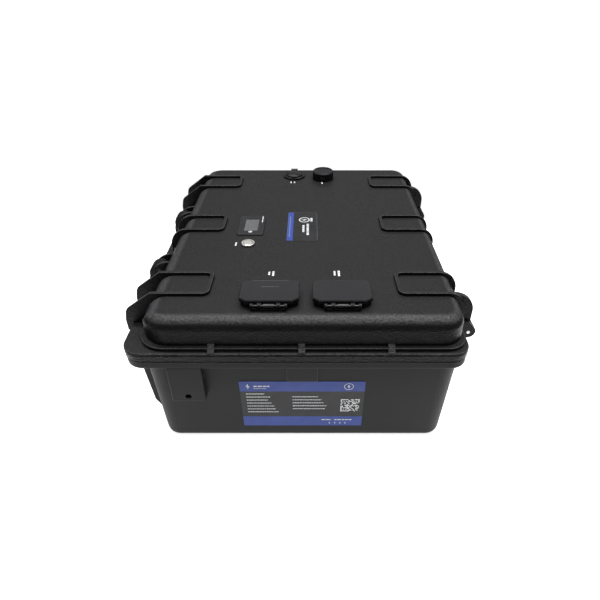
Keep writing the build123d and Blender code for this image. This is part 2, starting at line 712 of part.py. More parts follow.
def display_key():
    """Small diamond key of the display."""
    return key_prism(key_half, 187.2, 192.7)


def switch_body():
    """Metal push-switch: bezel, threaded barrel and terminal block."""
    body = disc(display_x, switch_y, 190.8, 192.8, 9.25)
    body = fillet(body.edges().group_by(Axis.Z)[-1], 0.8)
    body += disc(display_x, switch_y, 166, 190.8, 7.95)
    body += block(display_x - 5, display_x + 5, switch_y - 5, switch_y + 5, 156, 166)
    return body - disc(display_x, switch_y, 184, 194, 6.6)


def switch_button():
    """Moving cap of the push-switch."""
    button = disc(display_x, switch_y, 187, 193.0, 6.5)
    return fillet(button.edges().group_by(Axis.Z)[-1], 0.7)


def switch_gasket():
    return ring(display_x, switch_y, case_height, 190.8, 10.0, 8.0)


def switch_nut():
    return hex_nut(display_x, switch_y, 182.4, lid_inside_z, 20, 8.0)


# ---------------------------------------------------------------- USB socket
usb_flange_top_z = 193.6
usb_hinge_y = usb_y + 15.4
usb_hinge_z = 195.9
usb_cap_radius = 15.0


def usb_body():
    """Round flanged body of the USB socket, with hinge lugs for its cap."""
    body = disc(usb_x, usb_y, case_height, usb_flange_top_z, 18.5)
    body = chamfer(body.edges().group_by(Axis.Z)[-1], 1.0)
    body += disc(usb_x, usb_y, 158, case_height, 14.2)
    body -= disc(usb_x, usb_y, 157, 195, 12.6)
    for side in (-1, 1):
        x_low, x_high = sorted((usb_x + side * 3.2, usb_x + side * 5.6))
        lug = bar_x(usb_hinge_y, usb_hinge_z, x_low, x_high, 2.3)
        lug += block(x_low, x_high, usb_hinge_y - 2.3, usb_hinge_y + 2.3, 192, usb_hinge_z)
        body += lug
    return body - bar_x(usb_hinge_y, usb_hinge_z, usb_x - 8, usb_x + 8, 1.05)


def usb_ports():
    """Insert with two charging ports side by side."""
    insert = disc(usb_x, usb_y, 160, 189.5, 12.5)
    for side in (-1, 1):
        y = usb_y + side * 5.2
        insert -= block(usb_x - 6.6, usb_x + 6.6, y - 2.6, y + 2.6, 180, 190)
        insert += block(usb_x - 5.6, usb_x + 5.6, y - 0.1, y + 1.8, 179, 188.6)
    return insert


def usb_nut():
    nut = ring(usb_x, usb_y, 181, lid_inside_z, 17.5, 14.25)
    for number in range(12):
        angle = 2 * pi * number / 12
        nut -= disc(usb_x + 18.3 * cos(angle), usb_y + 18.3 * sin(angle), 180, 187, 1.8)
    return nut


def usb_cap():
    """Hinged domed cap with a finger tab."""
    low_z = usb_flange_top_z + 0.2
    rim_z = low_z + 1.6
    top_z = 200.0
    rise = top_z - rim_z
    dome_radius = (usb_cap_radius**2 + rise**2) / (2 * rise)
    cap = disc(usb_x, usb_y, low_z, rim_z, usb_cap_radius)
    cap += Pos(usb_x, usb_y, top_z - dome_radius) * Sphere(dome_radius) & disc(
        usb_x, usb_y, low_z + 0.5, top_z + 1, usb_cap_radius)
    tab = plate(usb_x - 4.5, usb_x + 4.5, usb_y - usb_cap_radius - 3.4, usb_y - usb_cap_radius + 3,
                low_z, low_z + 2.2, 2.0)
    cap += tab
    cap += block(usb_x - 2.9, usb_x + 2.9, usb_y + 10, usb_hinge_y, low_z, usb_hinge_z + 1.6)
    cap += bar_x(usb_hinge_y, usb_hinge_z, usb_x - 2.9, usb_x + 2.9, 2.1)
    for side in (-1, 1):
        x_low, x_high = sorted((usb_x + side * 2.9, usb_x + side * 6.0))
        cap -= block(x_low, x_high, usb_hinge_y - 3.6, usb_hinge_y + 4, low_z - 1, top_z)
        x_low, x_high = sorted((usb_x + side * 2.6, usb_x + side * 5.6))
        cap += bar_x(usb_hinge_y, usb_hinge_z, x_low, x_high, 1.0)
    plug = ring(usb_x, usb_y, low_z - 2.5, low_z + 0.5, 12.2, 10.6)
    return cap + plug


# ---------------------------------------------------------------- charging socket
cap_radius = 17.85
cap_z = (190.6, 204.6)
collar_radius = 11.9
collar_top_z = 199.4
liner_radius = 11.6


def charge_body():
    """Charging socket body: flange, collar for the screw cap, barrel through the lid."""
    body = disc(charge_x, charge_y, case_height, 190.5, 16.5)
    body += disc(charge_x, charge_y, case_height, collar_top_z, collar_radius)
    body = chamfer(body.edges().group_by(Axis.Z)[-1], 0.6)
    body += disc(charge_x, charge_y, 166, case_height, 10.0)
    body -= disc(charge_x, charge_y, 190.5, 201, 9.2)
    return body - disc(charge_x, charge_y, 165, 191, 8.2)


def charge_insert():
    """Insulating insert with three contact pins."""
    insert = disc(charge_x, charge_y, 168, 190.3, 8.15)
    for number in range(3):
        angle = pi / 2 + 2 * pi * number / 3
        x = charge_x + 4.2 * cos(angle)
        y = charge_y + 4.2 * sin(angle)
        insert += disc(x, y, 162, 196, 1.1)
    return insert


def charge_nut():
    return hex_nut(charge_x, charge_y, 181, lid_inside_z, 26, 10.05)


def charge_cap():
    """Screw cap with a dished top and one small moulded block on its side."""
    cap = disc(charge_x, charge_y, *cap_z, cap_radius)
    cap = chamfer(cap.edges().group_by(Axis.Z)[-1], 1.6)
    cap = chamfer(cap.edges().group_by(Axis.Z)[0], 0.5)
    cap -= disc(charge_x, charge_y, cap_z[1] - 1.0, cap_z[1] + 1, cap_radius - 3.6)
    cap += block(charge_x - 4.5, charge_x + 1.5, charge_y - cap_radius - 0.5, charge_y - cap_radius + 2, 194, 197.6)
    cap -= disc(charge_x, charge_y, 190, 201.6, collar_radius + 0.3)
    return cap


def charge_liner():
    """Rubber seal disc inside the screw cap."""
    return disc(charge_x, charge_y, collar_top_z + 0.1, 201.3, liner_radius)


# ---------------------------------------------------------------- battery inside the base
cell_width = 159.6
cell_depth = 48.8
cell_pitch = 49.5
cell_count = 8  # in each row
cell_z = (7.0, 122.0)
row_x = 80.4
terminal_reach = 62.0  # cell centre to each terminal
terminal_top_z = 124.0
busbar_top_z = 126.0
cover_sheet_z = (133.0, 134.6)


def cell_y(number):
    """Centre of the cell at this station, counted from the front."""
    return (number - (cell_count - 1) / 2) * cell_pitch


def cell(x, y):
    """One prismatic cell with two terminals and a vent."""
    body = block(x - cell_width / 2, x + cell_width / 2, y - cell_depth / 2, y + cell_depth / 2, *cell_z)
    body = fillet(body.edges().filter_by(Axis.Z), 2.0)
    for side in (-1, 1):
        terminal_x = x + side * terminal_reach
        body += disc(terminal_x, y, cell_z[1], terminal_top_z, 10.0)
        body += disc(terminal_x, y, terminal_top_z, 130.5, 3.0)
    vent = plate(x - 14, x + 14, y - 6, y + 6, cell_z[1] - 0.6, cell_z[1] + 1, 5.9)
    return body - vent


def cell_pair(number):
    """The two cells, one in each row, at one station."""
    return Compound([cell(-row_x, cell_y(number)), cell(row_x, cell_y(number))])


def busbar(x_low, x_high, y_low, y_high):
    """Flat copper link with a hole over each terminal."""
    link = plate(x_low - 9, x_high + 9, y_low - 9, y_high + 9, terminal_top_z, busbar_top_z, 3.0)
    for x, y in ((x_low, y_low), (x_high, y_high)):
        link -= disc(x, y, terminal_top_z - 1, busbar_top_z + 1, 3.05)
    return link


def busbars():
    """Links that join the sixteen cells in series."""
    links = []
    for row in (-1, 1):
        for number in range(cell_count - 1):
            outward = row if number % 2 == 0 else -row
            x = row * row_x + outward * terminal_reach
            links.append(busbar(x, x, cell_y(number), cell_y(number + 1)))
    inner_x = row_x - terminal_reach
    last_y = cell_y(cell_count - 1)
    links.append(busbar(-inner_x, inner_x, last_y, last_y))
    return Compound(links)


def terminal_nuts():
    """One nut on each cell terminal."""
    nuts = []
    for row in (-1, 1):
        for side in (-1, 1):
            x = row * row_x + side * terminal_reach
            for number in range(cell_count):
                end_terminal = number == 0 and side == -row
                low_z = 128.0 if end_terminal else busbar_top_z
                nuts.append(hex_nut(x, cell_y(number), low_z, low_z + 4.2, 10, 3.05))
    return Compound(nuts)


def end_plates():
    """Aluminium plates at the two ends of the cell block."""
    plates = []
    for end in (-1, 1):
        near_y = end * (cell_count * cell_pitch / 2 + 0.4)
        y_low, y_high = sorted((near_y, near_y + end * 6))
        plates.append(block(-158, 158, y_low, y_high, 8, 120))
    return Compound(plates)


def pack_straps():
    """Two steel bands round the cell block and its end plates."""
    bands = []
    inner_y = cell_count * cell_pitch / 2 + 6.6
    for z in (35.0, 92.0):
        outer = plan(-162.2, 162.2, -inner_y - 0.8, inner_y + 0.8, 4, 4, z)
        inner = plan(-161.4, 161.4, -inner_y, inner_y, 3.2, 3.2, z)
        bands.append(extrude(outer - inner, 16))
    return Compound(bands)


def foam_pads():
    """Foam under the cells and along both sides of the base."""
    pads = [block(-156, 156, -200, 200, floor_z + wall + 0.1, cell_z[0] - 0.1)]
    for side in (-1, 1):
        x_low, x_high = sorted((side * 162.6, side * 175.6))
        pads.append(block(x_low, x_high, -185, 185, 14, 118))
    return Compound(pads)


def row_divider():
    """Insulating sheet between the two rows of cells."""
    return block(-0.4, 0.4, -197, 197, cell_z[0] + 0.2, cell_z[1] - 1)


def cell_cover():
    """Insulating sheet over the cells, resting on the ends of the terminal studs."""
    sheet = plate(-163, 163, -206, 206, *cover_sheet_z, 6)
    return sheet - block(-30, 30, -196, -162, 132, 136)


bms_x = (0.0, 110.0)
bms_y = (-110.0, 105.0)
bms_top_z = 154.0
fuse_x = -40.0
fuse_bar_end_y = -118.0
lug_hole_inset = 8.0  # end of a pack bar to the centre of its bolt hole
bar_z = cover_sheet_z[1] + 5.0


def bms_housing():
    """Finned aluminium case of the battery management unit, with its two power lugs."""
    low_z = cover_sheet_z[1]
    body = plate(*bms_x, *bms_y, low_z, bms_top_z - 5, 4)
    for number in range(14):
        x = bms_x[0] + 6 + number * 7.3
        body += block(x, x + 2.6, bms_y[0] + 8, bms_y[1] - 8, bms_top_z - 6, bms_top_z)
    body += block(bms_x[0] + 8, bms_x[0] + 28, bms_y[0] - 14, bms_y[0] + 2, low_z + 2, low_z + 5)
    return body - disc(bms_x[0] + 18, bms_y[0] - 0.5 - lug_hole_inset, low_z - 1, low_z + 6, 3.05)


def bms_screws():
    """Screws of the battery management unit, and the bolt of its negative lug."""
    screws = []
    for x in (bms_x[0] + 3.5, bms_x[1] - 3.5):
        for y in (bms_y[0] + 4.5, bms_y[1] - 4.5):
            head = disc(x, y, bms_top_z - 5, bms_top_z - 2.6, 2.9)
            screws.append(fillet(head.edges().group_by(Axis.Z)[-1], 1.0))
    lug_x = bms_x[0] + 18
    lug_y = bms_y[0] - 0.5 - lug_hole_inset
    bolt = disc(lug_x, lug_y, cover_sheet_z[1] + 0.5, bar_z + 2, 3.0)
    screws.append(bolt + hex_nut(lug_x, lug_y, bar_z + 2, bar_z + 6, 10, 0.5))
    return Compound(screws)


def pack_bar(x, end_y, lug_x, lug_z):
    """Copper bar from an end terminal up through the cover sheet and along to a bolted lug."""
    first_y = cell_y(0)
    bar = block(x - 9, x + 9, first_y - 9, first_y + 9, busbar_top_z - 2, 128)
    riser_y = first_y + 9
    bar += block(x - 9, x + 9, riser_y - 2, riser_y, busbar_top_z - 2, lug_z + 2)
    low_x, high_x = sorted((x - 9, lug_x + 9)) if lug_x > x else sorted((lug_x - 9, x + 9))
    bar += block(low_x, high_x, riser_y - 2, riser_y + 16, lug_z, lug_z + 2)
    bar += block(lug_x - 9, lug_x + 9, riser_y, end_y, lug_z, lug_z + 2)
    bar -= disc(lug_x, end_y - lug_hole_inset, lug_z - 1, lug_z + 3, 3.05)
    return bar - disc(x, first_y, busbar_top_z - 3, 129, 3.05)


def negative_bar():
    return pack_bar(row_x - terminal_reach, bms_y[0] - 0.5, bms_x[0] + 18, bar_z)


def positive_bar():
    return pack_bar(-(row_x - terminal_reach), fuse_bar_end_y, fuse_x, bar_z)


def main_fuse():
    """Bolted strip fuse in its holder, on the positive bar."""
    low_z = cover_sheet_z[1]
    holder = plate(fuse_x - 13, fuse_x + 13, -135, -55, low_z, bar_z - 0.1, 3)
    body = plate(fuse_x - 8, fuse_x + 8, -112, -82, low_z + 4, low_z + 15, 3)
    holder += fillet(body.edges().group_by(Axis.Z)[-1], 2)
    stud_y = fuse_bar_end_y - lug_hole_inset
    holder += disc(fuse_x, stud_y, low_z + 1, bar_z + 3, 3.0)
    holder += disc(fuse_x, stud_y, bar_z + 2.05, bar_z + 6, 5)
    return holder + disc(fuse_x, stud_y + 60, low_z + 4, bar_z + 6, 5)


# ---------------------------------------------------------------- nodes
def nodes():
    """Every separate piece by node name."""
    pieces = {
        "base_shell": base_shell(),
        "rim_seal": rim_seal(),
        "hinge_pins": hinge_pins(),
        "front_label": front_label(),
        "carry_handle": carry_handle(),
        "handle_pins": handle_pins(),
        "lid_shell": lid_shell(),
        "top_label": top_label(),
        "latch_front": latch(latch_y[0]),
        "latch_rear": latch(latch_y[1]),
        "latch_pins": latch_pins(),
        "cover_pins": cover_pins(),
        "cover_springs": cover_springs(),
        "connector_contacts": connector_contacts(),
        "frame_screws": frame_screws(),
        "display_bezel": display_bezel(),
        "display_window": display_window(),
        "display_board": display_board(),
        "display_key": display_key(),
        "switch_body": switch_body(),
        "switch_button": switch_button(),
        "switch_gasket": switch_gasket(),
        "switch_nut": switch_nut(),
        "usb_body": usb_body(),
        "usb_ports": usb_ports(),
        "usb_nut": usb_nut(),
        "usb_cap": usb_cap(),
        "charge_body": charge_body(),
        "charge_insert": charge_insert(),
        "charge_nut": charge_nut(),
        "charge_cap": charge_cap(),
        "charge_liner": charge_liner(),
        "busbars": busbars(),
        "terminal_nuts": terminal_nuts(),
        "end_plates": end_plates(),
        "pack_straps": pack_straps(),
        "foam_pads": foam_pads(),
        "row_divider": row_divider(),
        "cell_cover": cell_cover(),
        "bms_housing": bms_housing(),
        "bms_screws": bms_screws(),
        "negative_bar": negative_bar(),
        "positive_bar": positive_bar(),
        "main_fuse": main_fuse(),
    }
    for side, x in zip(("left", "right"), socket_x):
        pieces[f"socket_frame_{side}"] = socket_frame(x)
        pieces[f"socket_cover_{side}"] = socket_cover(x)
        pieces[f"power_connector_{side}"] = power_connector(x)
    for number in range(cell_count):
        pieces[f"cell_pair_{number + 1}"] = cell_pair(number)
    return pieces


for name, piece in nodes().items():
    export_step(Pos(0, 0, -floor_z) * piece, f"parts/{name}.step")
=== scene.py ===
"""The looks of the battery pack: materials for every piece, prints and painted marks, light and camera."""
import math
import random

import bmesh
import bpy
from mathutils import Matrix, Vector


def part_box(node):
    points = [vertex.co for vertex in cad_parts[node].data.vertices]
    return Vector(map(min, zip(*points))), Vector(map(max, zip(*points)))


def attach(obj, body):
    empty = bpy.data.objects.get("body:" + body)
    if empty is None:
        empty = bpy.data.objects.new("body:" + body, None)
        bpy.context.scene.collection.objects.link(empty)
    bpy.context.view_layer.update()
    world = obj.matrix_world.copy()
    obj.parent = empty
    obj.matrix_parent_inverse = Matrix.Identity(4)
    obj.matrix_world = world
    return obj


MM = 0.001
LIFT = 0.12 * MM            # how far a print stands off the face that carries it

CAMERA_PLACE = (0.0077, -0.6240, 0.5114)
CAMERA_DOWN = 35.8          # degrees below the horizon
CAMERA_LENS = 28.56         # millimetres
CAMERA_SENSOR = 36
CAMERA_SHIFT = -8.7 / 600   # the frame reaches a little further to the left of the camera's axis

LIGHT_TARGET = (0, 0, 0.15)
BACKDROP_SEEN = 1.02        # how bright the camera sees the world
BACKDROP_GLOW = 0.07        # how much the world lights the object
FLOOR_HALF = 0.45
FLOOR_MIDDLE = (0, -0.03, -0.3 * MM)

CASE = (0.0055, 0.0055, 0.0057)
BLUE = (0.026, 0.052, 0.24)
INK = (0.010, 0.010, 0.011)
PRINT_WHITE = (0.62, 0.63, 0.64)
LEGEND_WHITE = (0.8, 0.8, 0.8)

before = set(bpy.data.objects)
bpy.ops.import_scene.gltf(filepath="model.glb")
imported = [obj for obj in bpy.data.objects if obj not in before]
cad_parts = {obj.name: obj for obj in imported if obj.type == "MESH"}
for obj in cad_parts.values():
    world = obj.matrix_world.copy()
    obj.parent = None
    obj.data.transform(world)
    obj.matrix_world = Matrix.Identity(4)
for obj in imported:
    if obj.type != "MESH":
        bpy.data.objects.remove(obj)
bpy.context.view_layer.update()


# ---------------------------------------------------------------- node helpers

MIX_COLOUR_INPUTS = (6, 7)  # a Mix node has sockets of every type, and these are its colours
MIX_COLOUR_RESULT = 2


class Nodes:
    """A material's node tree, with short ways to add the nodes that the surfaces here need."""

    def __init__(self, name):
        self.material = bpy.data.materials.new(name)
        self.material.use_nodes = True
        self.tree = self.material.node_tree
        self.shader = self.tree.nodes["Principled BSDF"]
        self.place = self.tree.nodes.new("ShaderNodeTexCoord").outputs["Object"]

    def link(self, output, socket):
        self.tree.links.new(output, socket)

    def set(self, **values):
        for name, value in values.items():
            self.shader.inputs[name.replace("_", " ")].default_value = value

    def noise(self, size, detail=3.0, roughness=0.55, stretch=(1, 1, 1), distortion=0.0):
        """Noise whose features are about size metres across."""
        mapping = self.tree.nodes.new("ShaderNodeMapping")
        mapping.inputs["Scale"].default_value = stretch
        self.link(self.place, mapping.inputs["Vector"])
        noise = self.tree.nodes.new("ShaderNodeTexNoise")
        noise.inputs["Scale"].default_value = 1 / size
        noise.inputs["Detail"].default_value = detail
        noise.inputs["Roughness"].default_value = roughness
        noise.inputs["Distortion"].default_value = distortion
        self.link(mapping.outputs["Vector"], noise.inputs["Vector"])
        return noise.outputs["Fac"]

    def cells(self, size, randomness=1.0):
        """Voronoi distance whose cells are about size metres across."""
        cells = self.tree.nodes.new("ShaderNodeTexVoronoi")
        cells.inputs["Scale"].default_value = 1 / size
        cells.inputs["Randomness"].default_value = randomness
        self.link(self.place, cells.inputs["Vector"])
        return cells.outputs["Distance"]

    def ramp(self, source, start, end, low=0.0, high=1.0):
        """Source mapped from start..end to low..high and held at both ends."""
        ranged = self.tree.nodes.new("ShaderNodeMapRange")
        ranged.inputs["From Min"].default_value = start
        ranged.inputs["From Max"].default_value = end
        ranged.inputs["To Min"].default_value = low
        ranged.inputs["To Max"].default_value = high
        self.link(source, ranged.inputs["Value"])
        return ranged.outputs["Result"]

    def math(self, operation, first, second):
        """Two numbers or sockets put together by a Math node."""
        node = self.tree.nodes.new("ShaderNodeMath")
        node.operation = operation
        for socket, value in zip(node.inputs, (first, second)):
            if isinstance(value, (int, float)):
                socket.default_value = value
            else:
                self.link(value, socket)
        return node.outputs["Value"]

    def mix(self, factor, first, second):
        """A colour between first and second. Either may be a colour or a socket."""
        node = self.tree.nodes.new("ShaderNodeMix")
        node.data_type = "RGBA"
        self.link(factor, node.inputs["Factor"])
        for index, value in zip(MIX_COLOUR_INPUTS, (first, second)):
            if isinstance(value, tuple):
                node.inputs[index].default_value = (*value, 1)
            else:
                self.link(value, node.inputs[index])
        return node.outputs[MIX_COLOUR_RESULT]

    def bump(self, height, strength, depth, under=None):
        """A normal raised by height, on top of the normal under it."""
        node = self.tree.nodes.new("ShaderNodeBump")
        node.inputs["Strength"].default_value = strength
        node.inputs["Distance"].default_value = depth
        self.link(height, node.inputs["Height"])
        if under is not None:
            self.link(under, node.inputs["Normal"])
        return node.outputs["Normal"]

    def edge(self, radius):
        """Near 1 on edges sharper than radius and 0 on flat faces."""
        bevel = self.tree.nodes.new("ShaderNodeBevel")
        bevel.samples = 4
        bevel.inputs["Radius"].default_value = radius
        geometry = self.tree.nodes.new("ShaderNodeNewGeometry")
        dot = self.tree.nodes.new("ShaderNodeVectorMath")
        dot.operation = "DOT_PRODUCT"
        self.link(bevel.outputs["Normal"], dot.inputs[0])
        self.link(geometry.outputs["Normal"], dot.inputs[1])
        return self.ramp(dot.outputs["Value"], 0.995, 0.9)

    def crevice(self, reach):
        """Near 1 deep in a corner or gap narrower than reach, and 0 in the open."""
        shade = self.tree.nodes.new("ShaderNodeAmbientOcclusion")
        shade.samples = 6
        shade.inputs["Distance"].default_value = reach
        return self.ramp(shade.outputs["AO"], 0.7, 0.25)

    def steepness(self):
        """How far a face looks up: 1 on a level top, 0 on a wall and less below it."""
        geometry = self.tree.nodes.new("ShaderNodeNewGeometry")
        separate = self.tree.nodes.new("ShaderNodeSeparateXYZ")
        self.link(geometry.outputs["Normal"], separate.inputs["Vector"])
        return separate.outputs["Z"]

    def upward(self):
        """1 on faces that look straight up and 0 on walls."""
        return self.ramp(self.steepness(), 0.15, 0.95)

    def shoulder(self):
        """1 on rounded shoulders between a flat top and a wall, and 0 on both of those."""
        level = self.steepness()
        below_top = self.ramp(level, 0.995, 0.95)
        above_wall = self.ramp(level, 0.5, 0.8)
        return self.math("MULTIPLY", below_top, above_wall)

    def position(self):
        """The X, Y and Z of the point, in metres."""
        separate = self.tree.nodes.new("ShaderNodeSeparateXYZ")
        self.link(self.place, separate.inputs["Vector"])
        return separate.outputs

    def colour(self, output):
        self.link(output, self.shader.inputs["Base Color"])

    def rough(self, output):
        self.link(output, self.shader.inputs["Roughness"])

    def normal(self, output):
        self.link(output, self.shader.inputs["Normal"])


def tint(colour, factor):
    """The colour made lighter or darker by a factor."""
    return tuple(channel * factor for channel in colour)


# ---------------------------------------------------------------- materials

def moulded(name, colour, rough, grain, depth, wear_and_edge_highlight=1.5, dust_and_top_light=0.0, shoulder_highlight=0.0, mottling=0.2, specular=0.14):
    """Moulded plastic: fine grain, slow mottling, paler edges (partly wear, partly a painted highlight) and
    painted shade in corners.

    The level faces get a painted top light, broken up like dust, and the rounded shoulders a painted
    highlight.
    """
    n = Nodes(name)
    n.set(Specular_IOR_Level=specular)
    patches = n.noise(0.06, 4)
    pits = n.cells(grain)
    fine = n.noise(grain * 1.4, 5, 0.7)
    base = n.mix(n.ramp(patches, 0.3, 0.7), tint(colour, 1 - mottling), tint(colour, 1 + mottling))
    # painted top light: level faces made paler, broken up by fine noise like dust
    if dust_and_top_light:
        cover = n.math("MULTIPLY", n.upward(), n.ramp(fine, 0.3, 0.7, 0.75, 1.0))
        base = n.mix(cover, base, tint(colour, 1 + dust_and_top_light))
    # painted highlight: rounded shoulders made many times paler, broken up by fine grain
    if shoulder_highlight:
        shoulder_highlight_mask = n.math("MULTIPLY", n.shoulder(), n.ramp(fine, 0.42, 0.58, 0.35, 1.0))
        base = n.mix(shoulder_highlight_mask, base, tint(colour, 1 + shoulder_highlight))
    # edges made paler in noisy patches: partly edge wear, partly a painted edge highlight
    worn_and_lit_edges = n.math("MULTIPLY", n.edge(0.9 * MM), n.ramp(n.noise(0.012, 4), 0.25, 0.6, 0.3, 1.0))
    base = n.mix(worn_and_lit_edges, base, tint(colour, 1 + wear_and_edge_highlight))
    # painted shade: corners and gaps narrower than 5 mm darkened to a tenth of the colour
    n.colour(n.mix(n.crevice(5 * MM), base, tint(colour, 0.1)))
    gloss = n.ramp(patches, 0.3, 0.7, rough - 0.05, rough + 0.05)
    n.rough(n.math("ADD", gloss, n.ramp(fine, 0.3, 0.7, -0.06, 0.06)))
    coarse = n.bump(n.noise(0.03, 2), 0.15, 0.4 * MM)
    n.normal(n.bump(n.math("ADD", pits, fine), 0.6, depth, coarse))
    return n.material


def rubber(name, colour):
    """Matt rubber, with paler bloom in patches."""
    n = Nodes(name)
    n.set(Specular_IOR_Level=0.35)
    n.colour(n.mix(n.ramp(n.noise(0.004, 4), 0.4, 0.7), colour, tint(colour, 1.8)))
    n.rough(n.ramp(n.noise(0.008), 0.3, 0.7, 0.62, 0.8))
    n.normal(n.bump(n.noise(0.5 * MM, 4), 0.3, 0.05 * MM))
    return n.material


def metal(name, colour, rough, brushing=(1, 1, 30), grain=0.02, scratch=0.25):
    """Metal drawn or brushed along one axis, a little duller and darker in patches."""
    n = Nodes(name)
    n.set(Metallic=1.0)
    lines = n.noise(grain, 6, 0.7, brushing)
    patches = n.noise(0.015, 4)
    n.colour(n.mix(n.ramp(patches, 0.35, 0.75), colour, tint(colour, 0.72)))
    n.rough(n.math("ADD", n.ramp(patches, 0.3, 0.7, rough, rough + 0.1), n.ramp(lines, 0.3, 0.7, 0, 0.12)))
    n.normal(n.bump(lines, scratch, 0.03 * MM))
    return n.material


def glossy(name, colour, rough, speckle):
    """Smooth plastic, with specks of dust that are lighter by speckle."""
    n = Nodes(name)
    dust_and_top_light = n.ramp(n.noise(0.6 * MM, 4), 0.62, 0.72)
    n.colour(n.mix(dust_and_top_light, colour, tuple(channel + speckle for channel in colour)))
    n.rough(n.ramp(n.noise(0.01, 5), 0.3, 0.75, rough, rough + 0.18))
    n.normal(n.bump(n.noise(0.02, 2), 0.12, 0.1 * MM))
    return n.material


def label_sheet(name, axis, start, end, bands):
    """Printed film: dark stock with blue bands, faint ink mottling and light creases.

    The bands are given as parts of the way from start to end along the axis.
    """
    n = Nodes(name)
    across = n.position()[axis]
    stock = n.mix(n.ramp(n.noise(0.02, 4), 0.35, 0.7), INK, tint(INK, 1.6))
    blue = n.mix(n.ramp(n.noise(0.015, 4), 0.35, 0.7), BLUE, tint(BLUE, 1.18))
    spread = 0.12 * MM      # so that a band covers the very end of the film
    inside = None
    for low, high in bands:
        above = n.math("GREATER_THAN", across, start + low * (end - start) - spread)
        below = n.math("LESS_THAN", across, start + high * (end - start) + spread)
        band = n.math("MULTIPLY", above, below)
        inside = band if inside is None else n.math("MAXIMUM", inside, band)
    n.colour(n.mix(inside, stock, blue))
    n.set(Specular_IOR_Level=0.3)
    n.rough(n.ramp(n.noise(0.012, 5), 0.3, 0.75, 0.38, 0.55))
    n.normal(n.bump(n.noise(0.03, 3), 0.2, 0.15 * MM))
    return n.material


def printed(name, colour):
    """Ink printed on film or pad-printed on plastic: slightly broken at its edges."""
    n = Nodes(name)
    gaps = n.ramp(n.noise(0.5 * MM, 4), 0.36, 0.46)
    n.colour(n.mix(gaps, tint(colour, 0.72), colour))
    n.rough(n.ramp(n.noise(0.003), 0.3, 0.7, 0.42, 0.58))
    n.normal(n.bump(n.noise(0.3 * MM), 0.2, 0.02 * MM))
    return n.material


def circuit_board(name):
    """Green solder mask with lighter tracks running both ways and small bright pads."""
    n = Nodes(name)
    rows = n.ramp(n.noise(0.0016, 0, 0.5, (1, 0.05, 1)), 0.52, 0.55)
    columns = n.ramp(n.noise(0.0016, 0, 0.5, (0.05, 1, 1)), 0.55, 0.58)
    tracks = n.math("MAXIMUM", rows, columns)
    mask = n.mix(tracks, (0.008, 0.09, 0.03), (0.02, 0.2, 0.07))
    pads = n.ramp(n.cells(0.003), 0.18, 0.14)
    n.colour(n.mix(pads, mask, (0.7, 0.68, 0.6)))
    n.rough(n.ramp(n.noise(0.004), 0.3, 0.7, 0.3, 0.45))
    n.normal(n.bump(tracks, 0.5, 0.05 * MM))
    return n.material


def foam(name):
    """Black foam with open holes."""
    n = Nodes(name)
    holes = n.cells(1.2 * MM)
    n.colour(n.mix(n.ramp(holes, 0.1, 0.6), (0.012, 0.012, 0.013), (0.05, 0.05, 0.055)))
    n.rough(n.ramp(n.noise(0.006), 0.3, 0.7, 0.85, 0.95))
    n.normal(n.bump(holes, 0.9, 0.4 * MM))
    return n.material


def insulation(name):
    """Glass-fibre sheet: a fine square weave under pale resin."""
    n = Nodes(name)
    warp = n.noise(0.8 * MM, 1, 0.5, (1, 0.12, 1))
    weft = n.noise(0.8 * MM, 1, 0.5, (0.12, 1, 1))
    weave = n.math("ADD", warp, weft)
    n.colour(n.mix(n.ramp(weave, 0.8, 1.2), (0.2, 0.24, 0.13), (0.3, 0.34, 0.2)))
    n.rough(n.ramp(n.noise(0.01), 0.3, 0.7, 0.5, 0.65))
    n.normal(n.bump(weave, 0.5, 0.08 * MM))
    return n.material


def cell_wrap(name, top):
    """Shrink film round a cell, creased and glossy, with the bare aluminium lid above it."""
    n = Nodes(name)
    lid_side = n.math("GREATER_THAN", n.position()[2], top)
    creases = n.noise(0.02, 5, 0.6, (1, 1, 3), 1.5)
    film = n.mix(n.ramp(creases, 0.35, 0.7), (0.01, 0.06, 0.26), (0.02, 0.13, 0.45))
    n.colour(n.mix(lid_side, film, (0.55, 0.56, 0.57)))
    n.link(lid_side, n.shader.inputs["Metallic"])
    n.rough(n.ramp(n.noise(0.006), 0.3, 0.7, 0.28, 0.45))
    n.normal(n.bump(creases, 0.35, 0.4 * MM))
    return n.material


def screen_glass(name):
    """A display that is off: grey polariser behind a clear window, with faint rows of unlit segments."""
    n = Nodes(name)
    n.set(Coat_Weight=0.6, Coat_Roughness=0.05)
    rows = n.noise(0.0022, 0, 0.5, (1, 0.05, 1))
    n.colour(n.mix(n.ramp(rows, 0.5, 0.56), (0.03, 0.034, 0.038), (0.042, 0.047, 0.052)))
    n.rough(n.ramp(n.noise(0.008, 4), 0.3, 0.7, 0.16, 0.3))
    n.normal(n.bump(n.noise(0.01), 0.08, 0.05 * MM))
    return n.material


def seamless_paper(name):
    """Pale studio paper, lit as well from inside so that it meets the white backdrop."""
    n = Nodes(name)
    n.colour(n.mix(n.ramp(n.noise(0.3, 3), 0.3, 0.7), (0.93, 0.93, 0.93), (0.95, 0.95, 0.95)))
    n.rough(n.ramp(n.noise(0.2), 0.3, 0.7, 0.85, 0.95))
    n.set(Specular_IOR_Level=0.0, Emission_Color=(1, 1, 1, 1), Emission_Strength=0.8)
    return n.material


# ---------------------------------------------------------------- mesh helpers

def add_piece(name, mesh, material, body):
    """Links a mesh as a piece, on its body and with its finish."""
    piece = bpy.data.objects.new(name, mesh)
    bpy.context.scene.collection.objects.link(piece)
    mesh.materials.append(material)
    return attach(piece, body)


